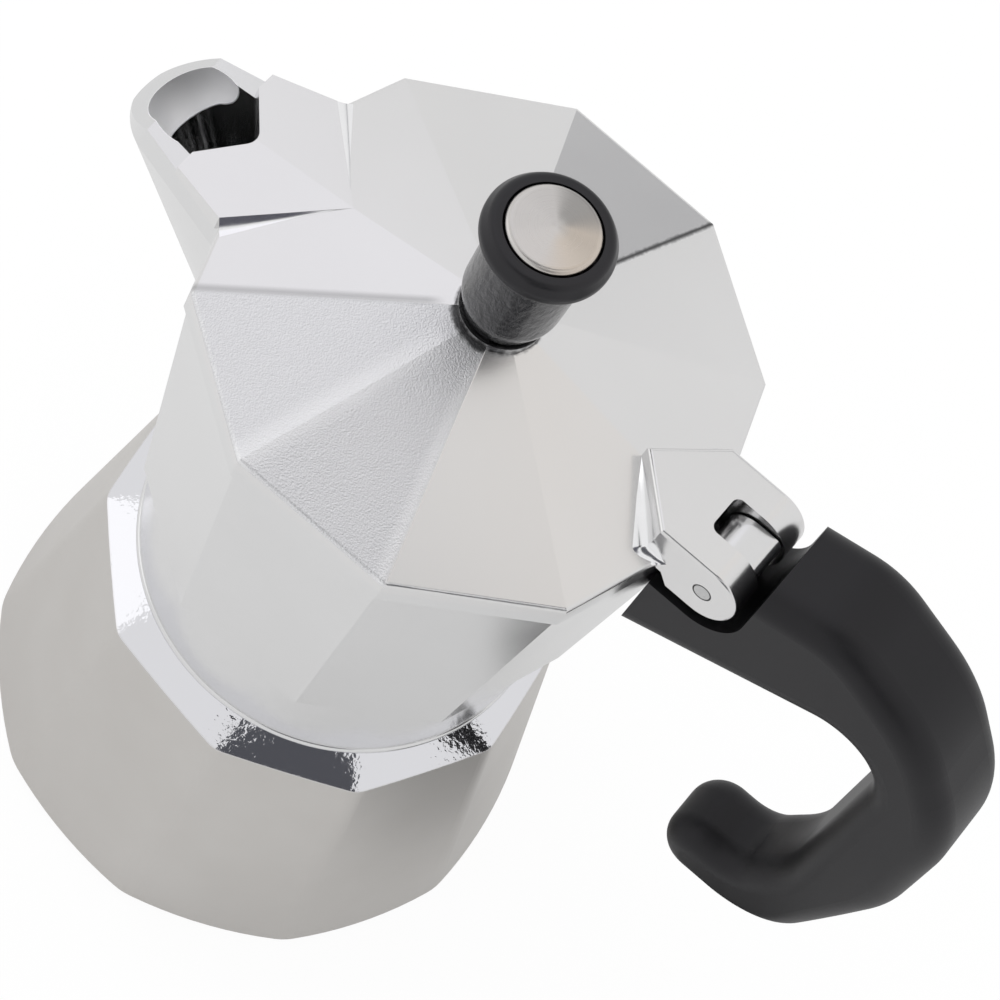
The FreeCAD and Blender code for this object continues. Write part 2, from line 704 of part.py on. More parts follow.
def make_collector():
    """The collector: a flared ten-sided cup on a threaded skirt, with spout, column and hinge knuckle."""
    body = new_body("collector")
    rim = "collector_rim_height"
    waist = outline(sketch_on(body, "XY_Plane", "waist_height"), decagon("waist_radius"))
    top = outline(sketch_on(body, "XY_Plane", rim), decagon("collector_rim_radius"))
    loft(body, [waist, top])
    band = sketch_on(body, "XY_Plane", f"{rim} - band_height")
    outline(band, decagon("collector_rim_radius + band_step"))
    pad(body, band, "band_height")
    skirt = [
        ("0", SKIRT_BOTTOM),
        ("skirt_radius", SKIRT_BOTTOM),
        ("skirt_top_radius", "waist_height"),
        ("0", "waist_height"),
    ]
    revolve(body, outline(sketch_on(body, "XZ_Plane"), skirt))
    add_spout(body)

    inner_low = sketch_on(body, "XY_Plane", COLLECTOR_FLOOR)
    outline(inner_low, decagon("waist_radius - collector_wall"))
    inner_top = sketch_on(body, "XY_Plane", f"{rim} + band_step")
    outline(inner_top, decagon("collector_rim_radius - collector_wall"))
    loft(body, [inner_low, inner_top], subtract=True)
    cut_spout(body)

    column = [
        ("0", f"{COLLECTOR_FLOOR} - collector_wall"),
        ("column_foot_radius", f"{COLLECTOR_FLOOR} - collector_wall"),
        ("column_foot_radius", COLLECTOR_FLOOR),
        ("column_top_radius", COLUMN_TOP),
        ("0", COLUMN_TOP),
    ]
    revolve(body, outline(sketch_on(body, "XZ_Plane"), column))
    under = [
        ("0", SKIRT_BOTTOM),
        (SKIRT_BORE, SKIRT_BOTTOM),
        (SKIRT_BORE, SEAT),
        ("dome_radius", SEAT),
        ("column_bore_radius", f"{SEAT} + dome_rise"),
        ("column_bore_radius", f"{COLUMN_TOP} - column_cap"),
        ("0", f"{COLUMN_TOP} - column_cap"),
    ]
    groove(body, outline(sketch_on(body, "XZ_Plane"), under))
    outlet_height = f"{COLUMN_TOP} - column_cap - 2 * column_outlet_radius"
    outlet = circle(sketch_on(body, "XZ_Plane"), "column_outlet_radius", ("0", outlet_height))
    pocket(body, outlet, "4 * column_top_radius", symmetric=True)

    tooth = sketch_on(body, "XZ_Plane")
    middle = f"({SHOULDER_TOP} + thread_lead_in - thread_pitch)"
    tip = "neck_radius + thread_depth + thread_clearance"
    thread_tooth(tooth, f"{SKIRT_BORE} - thread_sink", tip, middle, "thread_clearance")
    helix(body, tooth, "thread_pitch", "thread_turns + thread_run_out", subtract=True)

    knuckle_top = "(pin_height + knuckle_radius)"
    tongue_bottom = "(tongue_top - tongue_thickness)"
    lug = [
        ("lug_root", tongue_bottom),
        ("tongue_reach", tongue_bottom),
        ("tongue_reach", "tongue_top"),
        ("knuckle_back", "tongue_top"),
        ("knuckle_back", knuckle_top),
        ("pin_reach - knuckle_radius", knuckle_top),
        ("pin_reach - knuckle_radius", "tongue_top"),
        ("lug_root", "tongue_top"),
    ]
    pad(body, outline(sketch_on(body, "XZ_Plane"), lug), "2 * knuckle_half_width", symmetric=True)
    top_height = value(knuckle_top)
    rounded = {"pin_reach - knuckle_radius": "knuckle_radius", "knuckle_back": "knuckle_back_round"}
    for reach, radius in rounded.items():
        side = value(reach)

        def top_edge(edge):
            across = along(edge, Vector(0, 1, 0)) and level(edge, top_height)
            return across and abs(box_of(edge).XMin - side) < NEAR

        fillet(body, radius, top_edge)
    drill_pin_hole(body, "4 * knuckle_half_width")
    tap = sketch_on(body, "XY_Plane", tongue_bottom)
    circle(tap, "handle_screw_radius", ("handle_screw_x", "0"))
    tap_depth = f"handle_screw_seat + handle_screw_length - {tongue_bottom} + washer_thickness"
    pocket(body, tap, tap_depth, reverse=True)
    return body


def drill_pin_hole(body, length):
    hole = sketch_on(body, "XZ_Plane")
    circle(hole, "pin_radius + pin_clearance", ("pin_reach", "pin_height"))
    pocket(body, hole, length, symmetric=True)


def lid_height(radius):
    """The height of the lid's ridges at a given distance from the axis."""
    fall = f"({radius} - boss_radius) / (lid_radius - boss_radius)"
    return f"({LID_CROWN} - lid_rise * {fall})"


def make_lid():
    """The lid: a low ten-sided pyramid with a roofed nose over the spout and a forked lug at the hinge."""
    body = new_body("lid")
    rim = "collector_rim_height"
    add_nose(body)
    plate = outline(sketch_on(body, "XY_Plane", rim), decagon("lid_radius"))
    pad(body, plate, "lid_edge")
    eaves = outline(sketch_on(body, "XY_Plane", LID_EDGE_TOP), decagon("lid_radius"))
    crown = outline(sketch_on(body, "XY_Plane", LID_CROWN), decagon("boss_radius"))
    loft(body, [eaves, crown])
    boss = circle(sketch_on(body, "XY_Plane", LID_CROWN), f"boss_radius * cos({HALF_SIDE} deg)")
    pad(body, boss, "boss_height")
    add_fork(body)

    inner_low = outline(sketch_on(body, "XY_Plane", rim), decagon("lid_radius - lid_rim_width"))
    inner_top = outline(sketch_on(body, "XY_Plane", f"{LID_CROWN} - lid_wall"), decagon("boss_radius"))
    loft(body, [inner_low, inner_top], subtract=True)
    screw_hole = circle(sketch_on(body, "XY_Plane", BOSS_TOP), "knob_screw_radius + screw_clearance")
    pocket(body, screw_hole, "boss_height + 2 * lid_wall")
    round_lid(body)
    return body


def round_lid(body):
    eaves = value(LID_EDGE_TOP)
    fillet(body, "lid_edge_round", lambda edge: level(edge, eaves))
    lug_side = value("lug_half_width")
    lug_top = value("pin_height + ear_radius")
    pin_reach = value("pin_reach")
    pin_hole = value("pin_radius + 2 * pin_clearance")
    slot_front = value("slot_front")

    def lug_edge(edge):
        box = box_of(edge)
        on_top = level(edge, lug_top)
        on_side = box.YLength < NEAR and abs(abs(box.YMin) - lug_side) < NEAR
        on_ear = box.XMax > pin_reach + pin_hole
        on_front = on_top and box.XMax < slot_front - NEAR and not along(edge, Vector(0, 1, 0))
        return on_front or on_side and (on_top or on_ear)

    fillet(body, "lug_round", lug_edge)


def add_nose(body):
    """The nose: a five-cornered block under two roof planes that fall towards the spout, with a V notch."""
    rim = "collector_rim_height"
    tip_height = lid_height("nose_tip")
    nose = [
        ("-nose_tip", "0"),
        ("-nose_root", "nose_root_half_width"),
        ("-nose_front", "nose_front_half_width"),
        ("-nose_front", "-nose_front_half_width"),
        ("-nose_root", "-nose_root_half_width"),
    ]
    pad(body, outline(sketch_on(body, "XY_Plane", rim), nose), f"{tip_height} - {rim}")
    fall = f"(({tip_height} - nose_front_height) / (nose_front - nose_tip))"
    beyond = "(nose_front + lid_edge)"
    half = "(nose_root_half_width + lid_edge)"
    sections = []
    for reach, ridge in (("nose_tip", tip_height), (beyond, f"(nose_front_height - lid_edge * {fall})")):
        eave = f"{ridge} - nose_side_slope * {half}"
        above = [
            (f"-{half}", eave),
            ("0", ridge),
            (half, eave),
            (half, f"{ridge} + lid_rise"),
            (f"-{half}", f"{ridge} + lid_rise"),
        ]
        sections.append(outline(sketch_on(body, "YZ_Plane", f"-{reach}"), above))
    loft(body, sections, subtract=True)
    spread = f"(notch_half_width * ({beyond} - notch_start) / (nose_front - notch_start))"
    notch = [
        ("-notch_start", "0"),
        (f"-{beyond}", spread),
        (f"-{beyond}", f"-{spread}"),
    ]
    pocket(body, outline(sketch_on(body, "XY_Plane", tip_height), notch))
    start = -value("notch_start")

    def notch_corner(edge):
        return along(edge, Vector(0, 0, 1)) and abs(box_of(edge).XMin - start) < NEAR

    fillet(body, "notch_round", notch_corner)


def add_fork(body):
    """The hinge lug: a pointed block on the lid whose two ears take the pin either side of a slot."""
    lug_top = "(pin_height + ear_radius)"
    back = "(pin_reach + ear_radius)"
    lug = [
        ("lug_tip", "0"),
        ("lug_front", "-lug_half_width"),
        ("pin_reach", "-lug_half_width"),
        ("pin_reach", "lug_half_width"),
        ("lug_front", "lug_half_width"),
    ]
    rim = "collector_rim_height"
    pad(body, outline(sketch_on(body, "XY_Plane", rim), lug), f"{lug_top} - {rim}")
    barrel = circle(sketch_on(body, "XZ_Plane"), "ear_radius", ("pin_reach", "pin_height"))
    pad(body, barrel, "2 * lug_half_width", symmetric=True)
    slot = [
        ("slot_front", "-slot_half_width"),
        (f"{back} + slot_round", "-slot_half_width"),
        (f"{back} + slot_round", "slot_half_width"),
        ("slot_front", "slot_half_width"),
    ]
    pocket(body, outline(sketch_on(body, "XY_Plane", lug_top), slot), "2 * ear_radius")
    front = value("slot_front")

    def slot_corner(edge):
        return along(edge, Vector(0, 0, 1)) and abs(box_of(edge).XMin - front) < NEAR

    fillet(body, "slot_round", slot_corner)
    cheek_foot = "pin_height - ear_radius"
    cheek = [
        ("pin_reach", cheek_foot),
        ("pin_reach - cheek_foot_reach", cheek_foot),
        ("pin_reach - cheek_top_reach", rim),
        ("pin_reach - cheek_top_reach", LID_EDGE_TOP),
        ("pin_reach", LID_EDGE_TOP),
    ]
    for near_side in ("lug_half_width - cheek_thickness", "-lug_half_width"):
        pad(body, outline(sketch_on(body, "XZ_Plane", near_side), cheek), "cheek_thickness")
    drill_pin_hole(body, "4 * lug_half_width")


def make_hinge_pin():
    body = new_body("hinge_pin")
    section = circle(sketch_on(body, "XZ_Plane"), "pin_radius", ("pin_reach", "pin_height"))
    pad(body, section, "2 * lug_half_width", symmetric=True)
    return body


def underside(reach):
    return f"(handle_foot + handle_underside_rise * ({reach} - handle_root))"


def make_handle():
    """The handle: a flat-faced hook that starts under the hinge and curls back to a ball-like tip."""
    body = new_body("handle")
    recess_x = "(pin_reach + recess_radius)"
    recess_z = "(pin_height - recess_radius)"
    turns = {
        "crook_round": ("handle_inner_x", underside("handle_inner_x")),
        "inner_bend_round": ("handle_inner_x", "handle_inner_bend"),
        "mouth_round": ("handle_mouth_x", "handle_tip_height"),
        "tip_round": ("handle_tip_x", "handle_tip_height"),
        "tip_under_round": ("handle_tip_x", "handle_hook_bottom"),
        "hook_round": ("handle_hook_x", "handle_hook_bottom"),
        "heel_round": ("handle_outer_x", "handle_heel_height"),
        "shoulder_round": ("handle_outer_x", "handle_shoulder_height"),
        "bend_round": ("handle_bend_x", "handle_bend_height"),
        "crest_round": ("handle_crest_x", "handle_crest_height"),
    }
    top_end = [(recess_x, "handle_top"), (recess_x, recess_z), ("handle_root", recess_z)]
    corners = [("handle_root", "handle_foot"), *turns.values(), *top_end]
    pad(body, outline(sketch_on(body, "XZ_Plane"), corners), "2 * handle_half_width", symmetric=True)
    for radius, (x, z) in {**turns, "recess_radius - pin_clearance": (recess_x, recess_z)}.items():
        corner = Vector(value(x), 0, value(z))

        def at_corner(edge):
            middle = edge.CenterOfMass
            return along(edge, Vector(0, 1, 0)) and (middle - corner).Length < NEAR

        fillet(body, radius, at_corner)

    inset = "(handle_half_width - handle_tip_half_width)"
    drop = "(handle_taper_start - handle_hook_bottom)"
    side_radius = f"(({inset} ^ 2 + {drop} ^ 2) / (2 * {inset}))"
    for sign in ("", "-"):
        beyond = f"{sign}(handle_half_width + handle_side_round)"
        taper = [
            (f"{sign}handle_tip_half_width", "handle_hook_bottom"),
            (f"{sign}handle_half_width", "handle_taper_start"),
            (beyond, "handle_taper_start"),
            (beyond, "handle_hook_bottom"),
        ]
        if sign:
            taper = [taper[1], taper[0], taper[3], taper[2]]
        pocket(body, outline(sketch_on(body, "YZ_Plane"), taper, {0: side_radius}), symmetric=True)

    thinnest = value("handle_tip_half_width") - NEAR
    taper_start = value("handle_taper_start")
    end_x = value(recess_x)

    def long_edge(edge):
        box = box_of(edge)
        one_side = box.YMin > thinnest or box.YMax < -thinnest
        at_end = box.XMax < end_x + NEAR
        return one_side and not at_end and not level(edge, taper_start)

    fillet(body, "handle_side_round", long_edge)
    cut_handle(body)
    return body


def cut_handle(body):
    """Fits the handle round the collector's corner and tongue, and sinks its screw."""
    margin = "handle_clearance"
    sections = []
    for end in ("waist", "collector_rim"):
        sketch = sketch_on(body, "XY_Plane", f"{end}_height")
        sections.append(outline(sketch, decagon(f"{end}_radius + {margin}")))
    loft(body, sections, subtract=True)
    slot_bottom = f"(tongue_top - tongue_thickness - {margin})"
    slot_top = f"(tongue_top + {margin} + pin_clearance)"
    slot = [
        ("handle_root", slot_bottom),
        (f"tongue_reach + {margin}", slot_bottom),
        (f"tongue_reach + {margin}", slot_top),
        (f"knuckle_back + {margin}", slot_top),
        (f"knuckle_back + {margin}", "pin_height"),
        ("handle_root", "pin_height"),
    ]
    slot_width = f"2 * (knuckle_half_width + {margin})"
    pocket(body, outline(sketch_on(body, "XZ_Plane"), slot), slot_width, symmetric=True)
    place = ("handle_screw_x", "0")
    seat = sketch_on(body, "XY_Plane", "handle_screw_seat")
    pocket(body, circle(seat, "handle_counterbore_radius", place), "4 * handle_counterbore_radius")
    hole = sketch_on(body, "XY_Plane", "tongue_top")
    circle(hole, "handle_screw_radius + screw_clearance", place)
    pocket(body, hole, "2 * (tongue_top - handle_screw_seat)")


def turned(label, corners, axis="V_Axis"):
    """A piece turned from one profile."""
    body = new_body(label)
    revolve(body, outline(sketch_on(body, "XZ_Plane"), corners), axis)
    return body


def ring(label, inner, outer, bottom, thickness, centre=("0", "0")):
    body = new_body(label)
    sketch = circle(sketch_on(body, "XY_Plane", bottom), outer, centre)
    pad(body, circle(sketch, inner, centre), thickness)
    return body


def make_screw(label, centre, seat, head_radius, head, radius, length):
    """A screw that points up from a seat, with a six-sided socket in its head."""
    body = new_body(label)
    pad(body, circle(sketch_on(body, "XY_Plane", f"{seat} - {head}"), head_radius, centre), head)
    pad(body, circle(sketch_on(body, "XY_Plane", seat), radius, centre), length)
    socket = [(f"{centre[0]} + {x}", f"{centre[1]} + {y}") for x, y in regular("drive_radius", 6)]
    drive = outline(sketch_on(body, "XY_Plane", f"{seat} - {head}"), socket)
    pocket(body, drive, "drive_depth", reverse=True)
    return body


def make_handle_fastening():
    place = ("handle_screw_x", "0")
    bottom = "(handle_screw_seat - washer_thickness)"
    bore = "handle_screw_radius + screw_clearance"
    edge = "handle_screw_head_radius + screw_clearance"
    ring("handle_washer", bore, edge, bottom, "washer_thickness", place)
    head = ("handle_screw_head_radius", "handle_screw_head")
    shank = ("handle_screw_radius - pin_clearance", "handle_screw_length")
    make_screw("handle_screw", place, bottom, *head, *shank)


def make_knob():
    """The knob: a cup-shaped stem under a round flange, bored for its insert and recessed for its cap."""
    recess = "(cap_radius + cap_clearance)"
    flange_side = "knob_flange_height + knob_rim_round"
    corners = [
        ("0", BOSS_TOP),
        ("knob_foot_radius", BOSS_TOP),
        ("knob_belly_radius", "knob_belly_height"),
        ("knob_neck_radius", "knob_flange_height"),
        ("knob_rim_radius", flange_side),
        ("knob_rim_radius", "knob_rim_height"),
        ("knob_top_radius", "knob_top_height"),
        (recess, "knob_top_height"),
        (recess, "knob_top_height - cap_depth"),
        ("0", "knob_top_height - cap_depth"),
    ]
    body = turned("knob", corners)
    bore = circle(sketch_on(body, "XY_Plane", BOSS_TOP), "insert_radius")
    pocket(body, bore, "insert_length", reverse=True)
    flange_edges = (value("knob_rim_height"), value(flange_side))
    fillet(body, "knob_rim_round", lambda edge: any(level(edge, height) for height in flange_edges))
    top = value("knob_top_height")
    recess_side = value(recess) + NEAR
    fillet(body, "knob_top_round", lambda edge: level(edge, top) and box_of(edge).XMax > recess_side)
    foot = value(BOSS_TOP)
    bore_side = value("insert_radius") + NEAR
    fillet(body, "knob_foot_round", lambda edge: level(edge, foot) and box_of(edge).XMax > bore_side)
    belly = value("knob_belly_height")
    fillet(body, "knob_belly_round", lambda edge: level(edge, belly))
    return body


def make_knob_fittings():
    """The steel cap pressed into the knob, and the insert, washer and screw that hold it to the lid."""
    bottom = "(knob_top_height - cap_depth)"
    side_top = "(knob_top_height + cap_stand)"
    profile = [
        ("0", bottom),
        ("cap_radius", bottom),
        ("cap_radius", side_top),
        ("0", f"{side_top} + cap_crown"),
    ]
    cap = turned("knob_cap", profile)
    rim = value(side_top)
    fillet(cap, "cap_round", lambda edge: level(edge, rim))
    bore = "knob_screw_radius + pin_clearance"
    side = "insert_radius - pin_clearance"
    ring("knob_insert", bore, side, BOSS_TOP, "insert_length - pin_clearance")
    seat = f"({LID_CROWN} - lid_wall - washer_thickness)"
    bore = "knob_screw_radius + screw_clearance"
    ring("knob_washer", bore, "knob_washer_radius", seat, "washer_thickness")
    length = f"{BOSS_TOP} - {seat} + knob_screw_reach"
    head = ("knob_screw_head_radius", "knob_screw_head")
    make_screw("knob_screw", ("0", "0"), seat, *head, "knob_screw_radius", length)


def make_valve():
    """The safety valve: a six-sided body through the boiler's wall, with a sprung pin to shut its port."""
    hex_start = "valve_washer_thickness"
    hex_end = f"({hex_start} + valve_hex_length)"
    mouth = f"({hex_end} + valve_barrel_length)"
    inner_end = "-valve_shank_length"
    seat = "(valve_seat - valve_shank_length)"
    pin_start = f"({seat} + valve_play)"
    pin_head_end = f"({pin_start} + valve_pin_head)"
    plug_end = f"({mouth} - valve_plug_inset)"
    plug_start = f"({plug_end} - valve_plug_length)"
    pieces = []

    body = new_body("valve_body")
    hexagon = outline(sketch_on(body, "YZ_Plane", hex_start), regular("valve_hex_radius", 6))
    pad(body, hexagon, "valve_hex_length")
    tube = [
        (inner_end, "valve_port_radius"),
        (seat, "valve_port_radius"),
        (seat, "valve_chamber_radius"),
        (mouth, "valve_chamber_radius"),
        (mouth, "valve_barrel_radius"),
        (hex_start, "valve_barrel_radius"),
        (hex_start, "valve_shank_radius"),
        (inner_end, "valve_shank_radius"),
    ]
    revolve(body, outline(sketch_on(body, "XZ_Plane"), tube), "H_Axis")
    hollow = [
        (inner_end, "0"),
        (inner_end, "valve_port_radius"),
        (seat, "valve_port_radius"),
        (seat, "valve_chamber_radius"),
        (mouth, "valve_chamber_radius"),
        (mouth, "0"),
    ]
    groove(body, outline(sketch_on(body, "XZ_Plane"), hollow), "H_Axis")
    pieces.append(body)

    washer = [
        ("0", "valve_shank_radius + valve_hole_clearance"),
        (hex_start, "valve_shank_radius + valve_hole_clearance"),
        (hex_start, "valve_washer_radius"),
        ("0", "valve_washer_radius"),
    ]
    pieces.append(turned("valve_washer", washer, "H_Axis"))

    nut = new_body("valve_nut")
    nut_end = "(-boiler_wall - valve_nut_gap)"
    section = outline(sketch_on(nut, "YZ_Plane", nut_end), regular("valve_hex_radius", 6))
    circle(section, "valve_shank_radius + pin_clearance")
    item = feature(nut, "Pad", section, Length="valve_nut_length")
    item.Reversed = True
    finish(item)
    pieces.append(nut)

    stand = f"({mouth} + valve_pin_stand)"
    pin = [
        (pin_start, "0"),
        (pin_start, "valve_pin_head_radius"),
        (pin_head_end, "valve_pin_head_radius"),
        (pin_head_end, "valve_pin_radius"),
        (stand, "valve_pin_radius"),
        (stand, "0"),
    ]
    pieces.append(turned("valve_pin", pin, "H_Axis"))
    plug = [
        (plug_start, "valve_pin_radius + valve_play"),
        (plug_end, "valve_pin_radius + valve_play"),
        (plug_end, "valve_chamber_radius - pin_clearance"),
        (plug_start, "valve_chamber_radius - pin_clearance"),
    ]
    pieces.append(turned("valve_plug", plug, "H_Axis"))

    spring = new_body("valve_spring")
    wire = sketch_on(spring, "XZ_Plane")
    coil_start = f"({pin_head_end} + valve_play + spring_wire_radius)"
    circle(wire, "spring_wire_radius", (coil_start, "spring_coil_radius"))
    pitch = f"({plug_start} - valve_play - spring_wire_radius - {coil_start}) / spring_turns"
    helix(spring, wire, pitch, "spring_turns", "H_Axis")
    pieces.append(spring)
    for piece in pieces:
        piece.Placement = valve_placement()


def all_bodies():
    return [item for item in doc.Objects if item.TypeId == "PartDesign::Body"]


def write_parts():
    os.makedirs("parts", exist_ok=True)
    for item in doc.Objects:
        if broken(item):
            raise RuntimeError(f"{item.Label} is {item.State}")
    for body in all_bodies():
        if body.Shape.isNull() or not body.Shape.isValid() or len(body.Shape.Solids) != 1:
            raise RuntimeError(f"{body.Label} is not one valid solid")
    for body in all_bodies():
        body.Shape.exportStep(f"parts/{body.Label}.step")


make_boiler()
make_valve()
make_funnel()
make_funnel_sieve()
make_gasket()
make_filter_plate()
make_collector()
make_handle()
make_handle_fastening()
make_lid()
make_hinge_pin()
make_knob()
make_knob_fittings()
doc.recompute()
write_parts()
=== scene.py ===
import math

import bpy
from mathutils import Matrix, Vector


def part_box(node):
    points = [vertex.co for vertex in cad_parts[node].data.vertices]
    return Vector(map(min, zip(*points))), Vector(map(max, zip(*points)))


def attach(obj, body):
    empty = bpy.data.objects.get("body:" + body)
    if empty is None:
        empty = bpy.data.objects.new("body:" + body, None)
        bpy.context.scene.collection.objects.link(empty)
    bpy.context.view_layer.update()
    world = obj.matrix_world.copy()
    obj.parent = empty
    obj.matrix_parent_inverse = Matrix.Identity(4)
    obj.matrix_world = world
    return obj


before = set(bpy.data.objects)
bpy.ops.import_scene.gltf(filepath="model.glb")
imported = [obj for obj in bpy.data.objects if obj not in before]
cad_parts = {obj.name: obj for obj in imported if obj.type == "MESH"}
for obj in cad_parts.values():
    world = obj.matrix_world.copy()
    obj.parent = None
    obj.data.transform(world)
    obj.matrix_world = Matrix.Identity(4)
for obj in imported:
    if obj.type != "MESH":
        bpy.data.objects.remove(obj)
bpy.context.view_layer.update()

# Boiler: the water chamber, deep-drawn from stainless steel with ten bowed sides.
# Its sides are blasted to a warm satin grey, and the shoulder that runs in to the
# round neck is left polished, with the faint orange peel of drawn sheet.
MM = 0.001


class Value:
    """One number inside a finish: arithmetic on it adds Math nodes."""

    def __init__(self, finish, socket):
        self.finish = finish
        self.socket = socket

    def maths(self, operation, *terms):
        return self.finish.node("Math", {"operation": operation}, dict(enumerate(terms)))

    def __add__(self, other):
        return self.maths("ADD", self, other)

    def __radd__(self, other):
        return self.maths("ADD", other, self)

    def __sub__(self, other):
        return self.maths("SUBTRACT", self, other)

    def __rsub__(self, other):
        return self.maths("SUBTRACT", other, self)

    def __mul__(self, other):
        return self.maths("MULTIPLY", self, other)

    def __rmul__(self, other):
        return self.maths("MULTIPLY", other, self)

    def __truediv__(self, other):
        return self.maths("DIVIDE", self, other)

    def __pow__(self, other):
        return self.maths("POWER", self, other)


class Finish:
    """A surface finish: a material with one principled shader, and a method that adds any other node."""

    def __init__(self, name, **constants):
        self.material = bpy.data.materials.new(name)
        self.material.use_nodes = True
        self.tree = self.material.node_tree
        self.shader = self.tree.nodes["Principled BSDF"]
        for socket, constant in constants.items():
            self.shader.inputs[socket.replace("_", " ")].default_value = constant
        self.place = self.node("TexCoord", output="Object")
        split = self.node("SeparateXYZ", None, {0: self.place}).socket.node
        self.x, self.y, self.z = (Value(self, socket) for socket in split.outputs)

    def put(self, entry, socket):
        if isinstance(entry, Value):
            self.tree.links.new(entry.socket, socket)
        else:
            socket.default_value = entry

    def node(self, kind, settings=None, sockets=None, output=0):
        item = self.tree.nodes.new("ShaderNode" + kind)
        for name, setting in (settings or {}).items():
            setattr(item, name, setting)
        for socket, entry in (sockets or {}).items():
            self.put(entry, item.inputs[socket])
        return Value(self, item.outputs[output])

    def noise(self, grain, detail=2.0, stretch=(1, 1, 1), roughness=0.5, shift=(0, 0, 0)):
        """Cloudy noise with blotches of about one grain, in metres, which can be drawn out or shifted."""
        scale = tuple(1 / (grain * s) for s in stretch)
        scaled = self.node("Mapping", None, {"Vector": self.place, "Location": shift, "Scale": scale})
        sockets = {"Vector": scaled, "Scale": 1.0, "Detail": detail, "Roughness": roughness}
        return self.node("TexNoise", None, sockets)

    def step(self, amount, low, high):
        """Rises smoothly from 0 to 1 as an amount goes from low to high."""
        settings = {"interpolation_type": "SMOOTHSTEP"}
        return self.node("MapRange", settings, {"Value": amount, "From Min": low, "From Max": high})

    def blend(self, amount, first, second):
        settings = {"data_type": "RGBA"}
        sockets = {"Factor": amount, 6: first, 7: second}
        return self.node("Mix", settings, sockets, output=2)

    def tint(self, amount, dark, light):
        """A colour between two shades."""
        return self.blend(amount, (*dark, 1), (*light, 1))

    def relief(self, height, depth, strength):
        """A bumpy skin whose full height is a depth in metres."""
        return self.node("Bump", None, {"Height": height, "Distance": depth, "Strength": strength})

    def set(self, **values):
        for socket, entry in values.items():
            self.put(entry, self.shader.inputs[socket.replace("_", " ")])


def dress(node, finish):
    """Gives a CAD node its finish."""
    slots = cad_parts[node].data.materials
    slots.clear()
    slots.append(finish.material)


RIM_HEIGHT = 49.0 * MM
boiler_steel = Finish("boiler_steel", Metallic=1.0)
shoulder = boiler_steel.step(boiler_steel.z, RIM_HEIGHT - 0.3 * MM, RIM_HEIGHT + 0.2 * MM)
blast = boiler_steel.noise(0.25 * MM, detail=3)
cloud = boiler_steel.noise(14 * MM)
satin = boiler_steel.tint(cloud, (0.615, 0.595, 0.572), (0.665, 0.648, 0.628))
peel = boiler_steel.noise(0.9 * MM, detail=2)
boiler_steel.set(
    Base_Color=boiler_steel.blend(shoulder, satin, (0.80, 0.80, 0.83, 1)),
    Roughness=0.40 + 0.06 * blast - shoulder * 0.35,
    Normal=boiler_steel.relief(blast * (1 - shoulder) * 0.12 + peel * shoulder, 0.14 * MM, 0.6),
)
dress("boiler", boiler_steel)

# Safety valve: a turned brass body with its nut, plug and pin, sealed to the boiler's wall by a fibre washer.
# A small steel spring inside holds the pin shut. The brass is brighter in some patches and duller in others.
valve_brass = Finish("valve_brass", Metallic=1.0)
tarnish = valve_brass.noise(1.6 * MM, detail=4)
turning = valve_brass.noise(0.2 * MM, stretch=(3, 0.3, 3))
valve_brass.set(
    Base_Color=valve_brass.tint(tarnish, (0.50, 0.34, 0.13), (0.74, 0.55, 0.27)),
    Roughness=0.22 + 0.16 * tarnish,
    Normal=valve_brass.relief(turning, 0.02 * MM, 0.4),
)
for node in ("valve_body", "valve_nut", "valve_plug", "valve_pin"):
    dress(node, valve_brass)

fibre = Finish("fibre_washer")
flock = fibre.noise(0.4 * MM, detail=4)
fibre.set(
    Base_Color=fibre.tint(flock, (0.16, 0.05, 0.03), (0.30, 0.11, 0.07)),
    Roughness=0.75 + 0.15 * flock,
    Normal=fibre.relief(flock, 0.06 * MM, 0.6),
)
dress("valve_washer", fibre)

spring_steel = Finish("spring_steel", Metallic=1.0)
drawn = spring_steel.noise(0.3 * MM)
spring_steel.set(
    Base_Color=spring_steel.tint(drawn, (0.42, 0.42, 0.43), (0.58, 0.58, 0.59)),
    Roughness=0.25 + 0.1 * drawn,
)
dress("valve_spring", spring_steel)

# Coffee funnel: spun from thin aluminium, with a basket on a long stem. A pierced sieve lies in its basket.
# The spinning leaves fine rings round the axis.
spun_aluminium = Finish("spun_aluminium", Metallic=1.0)
rings = spun_aluminium.noise(0.35 * MM, stretch=(40, 40, 1))
dull = spun_aluminium.noise(9 * MM, detail=3)
spun_aluminium.set(
    Base_Color=spun_aluminium.tint(dull, (0.62, 0.62, 0.63), (0.74, 0.74, 0.75)),
    Roughness=0.30 + 0.12 * dull,
    Normal=spun_aluminium.relief(rings, 0.03 * MM, 0.4),
)
for node in ("funnel", "funnel_sieve", "filter_plate"):
    dress(node, spun_aluminium)

# Gasket: a moulded ring of off-white rubber that seals the collector to the funnel's flange.
# Its skin is dull and slightly powdery.
gasket_rubber = Finish("gasket_rubber", Specular_IOR_Level=0.35)
powder = gasket_rubber.noise(1.2 * MM, detail=4)
gasket_rubber.set(
    Base_Color=gasket_rubber.tint(powder, (0.66, 0.63, 0.56), (0.78, 0.76, 0.70)),
    Roughness=0.6 + 0.15 * powder,
    Normal=gasket_rubber.relief(powder, 0.04 * MM, 0.4),
)
dress("gasket", gasket_rubber)
